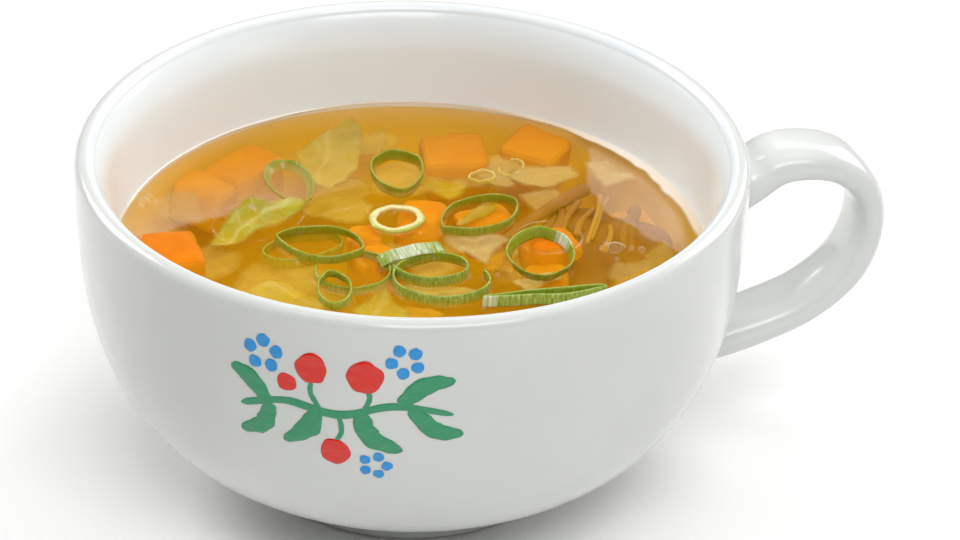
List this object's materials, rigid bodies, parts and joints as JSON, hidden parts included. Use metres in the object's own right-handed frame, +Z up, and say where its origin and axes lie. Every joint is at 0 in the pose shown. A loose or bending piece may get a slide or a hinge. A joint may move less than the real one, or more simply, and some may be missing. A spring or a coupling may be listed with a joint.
{
  "type": "cup of vegetable soup",
  "caption": "Round white porcelain soup cup with a strap handle and a foot, filled with clear amber broth, diced carrot, cabbage and cut spring onion.",
  "frame": {"origin": "middle of the footprint box, handle included, on the plane the foot stands on; the bowl's own axis is vertical at x = -0.01325 m, y = 0", "axes": "+Z up, +X from the bowl towards the back of the handle, +Y across the handle"},
  "size_m": [0.1415, 0.115, 0.062],
  "materials": {
    "porcelain": "gloss",
    "broth": "gloss",
    "carrot": "satin",
    "cabbage": "satin",
    "green_onion": "satin",
    "pale_onion": "satin"
  },
  "bodies": {
    "root": {"soup_cup": "porcelain", "broth": "broth", "carrot_at_surface": "carrot", "cabbage_at_surface": "cabbage", "spring_onion_back_left": "green_onion", "spring_onion_back": "green_onion", "spring_onion_pale": "pale_onion", "spring_onion_middle_right": "green_onion", "spring_onion_middle_left": "green_onion", "spring_onion_open_left": "green_onion", "spring_onion_curl": "green_onion", "spring_onion_flattened": "green_onion", "spring_onion_spiral": "green_onion", "spring_onion_upright": "green_onion", "spring_onion_folded": "green_onion", "spring_onion_front": "green_onion", "spring_onion_front_right": "green_onion"}
  },
  "joints": []
}
